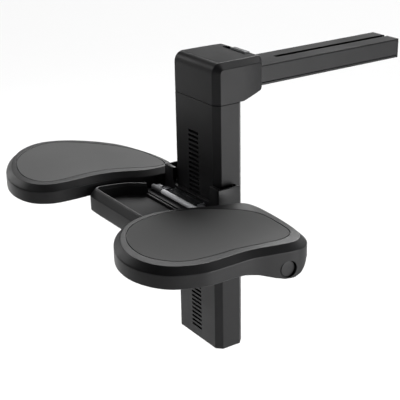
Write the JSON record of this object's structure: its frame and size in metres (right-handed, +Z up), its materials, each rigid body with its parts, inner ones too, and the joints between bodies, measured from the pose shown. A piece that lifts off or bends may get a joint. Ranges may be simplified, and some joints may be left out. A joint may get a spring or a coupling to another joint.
{
  "type": "document camera stand column",
  "caption": "Hanging column with a rear mounting arm, a sliding carriage with a small tray, and two padded side rests that fold up.",
  "frame": {"origin": "middle of the clamped stretch of the arm's underside, on the arm's centre line", "axes": "+Z up along the column, +Y along the arm away from the column, +X to the right seen from the tray side"},
  "size_m": [0.5154, 0.5309, 0.404],
  "materials": {
    "arm_plastic": "fine matte texture, near black",
    "body_plastic": "fine matte texture, near black",
    "mat_rubber": "flat soft grey",
    "bright_steel": "polished",
    "plain_steel": "plain ground",
    "dark_steel": "black oxide",
    "light_plastic": "satin light grey",
    "bush_plastic": "natural bearing plastic"
  },
  "bodies": {
    "arm": {"arm_rail": "arm_plastic", "arm_underside_cover": "arm_plastic", "arm_tenon": "plain_steel", "arm_end_cap": "arm_plastic", "arm_screw_left": "dark_steel", "arm_screw_right": "dark_steel"},
    "column": {"column_shell": "body_plastic", "rack_strip": "dark_steel", "foot_plate": "body_plastic", "head_shell": "body_plastic", "socket_liner_lower": "bush_plastic", "socket_liner_upper": "bush_plastic", "spring_plate": "plain_steel", "neck_collar": "dark_steel", "head_screw_left": "dark_steel", "head_screw_right": "dark_steel", "latch_spring": "plain_steel"},
    "button": {"slide_button": "light_plastic", "lock_slider": "dark_steel"},
    "latch": {"latch_bolt": "plain_steel"},
    "carriage": {"carriage_front": "body_plastic", "carriage_rear_plate": "body_plastic", "carriage_screw_1": "dark_steel", "carriage_screw_2": "dark_steel", "carriage_screw_3": "dark_steel", "carriage_screw_4": "dark_steel", "cheek_left": "body_plastic", "cheek_right": "body_plastic", "glide_liner": "bush_plastic", "hinge_beam": "body_plastic", "tray_screw_left": "dark_steel", "tray_screw_right": "dark_steel", "pivot_shaft": "plain_steel", "shaft_clip": "dark_steel", "tray": "body_plastic", "tray_liner": "mat_rubber", "release_spring_left": "plain_steel", "release_spring_right": "plain_steel"},
    "release": {"release_bar": "bright_steel", "release_grip": "body_plastic", "pawl": "plain_steel", "bar_clips_left": "light_plastic", "bar_clips_right": "light_plastic"},
    "rest_right": {"rest_right_shell": "body_plastic", "rest_right_base": "body_plastic", "rest_right_mat": "mat_rubber", "rest_right_screw_1": "dark_steel", "rest_right_screw_2": "dark_steel", "rest_right_screw_3": "dark_steel", "rest_right_bush_inner": "bush_plastic", "rest_right_bush_outer": "bush_plastic", "rest_right_hub_cap": "body_plastic"},
    "rest_left": {"rest_left_shell": "body_plastic", "rest_left_base": "body_plastic", "rest_left_mat": "mat_rubber", "rest_left_screw_1": "dark_steel", "rest_left_screw_2": "dark_steel", "rest_left_screw_3": "dark_steel", "rest_left_bush_inner": "bush_plastic", "rest_left_bush_outer": "bush_plastic"}
  },
  "joints": [
    {"name": "head_slide", "type": "slide", "parent": "arm", "child": "column", "axis": [0, -1, 0], "range_m": [0, 0.03]},
    {"name": "button_slide", "type": "slide", "parent": "column", "child": "button", "axis": [-1, 0, 0], "range_m": [0, 0.016], "stiffness_N_per_m": 60},
    {"name": "latch_lift", "type": "slide", "parent": "column", "child": "latch", "axis": [0, 0, 1], "range_m": [0, 0.004], "deforming": ["latch_spring"]},
    {"name": "carriage_slide", "type": "slide", "parent": "column", "child": "carriage", "axis": [0, 0, 1], "range_m": [-0.165, 0.09]},
    {"name": "release_pull", "type": "slide", "parent": "carriage", "child": "release", "axis": [0, -1, 0], "range_m": [0, 0.005], "stiffness_N_per_m": 600, "deforming": ["release_spring_left", "release_spring_right"]},
    {"name": "rest_right_fold", "type": "hinge", "parent": "carriage", "child": "rest_right", "pos_m": [0, -0.236, -0.1503], "axis": [-1, 0, 0], "range_deg": [0, 75]},
    {"name": "rest_left_fold", "type": "hinge", "parent": "carriage", "child": "rest_left", "pos_m": [0, -0.236, -0.1503], "axis": [-1, 0, 0], "range_deg": [0, 75]}
  ],
  "couplings": [
    {"joint": "latch_lift", "follows": "button_slide", "ratio": 0.25}
  ]
}
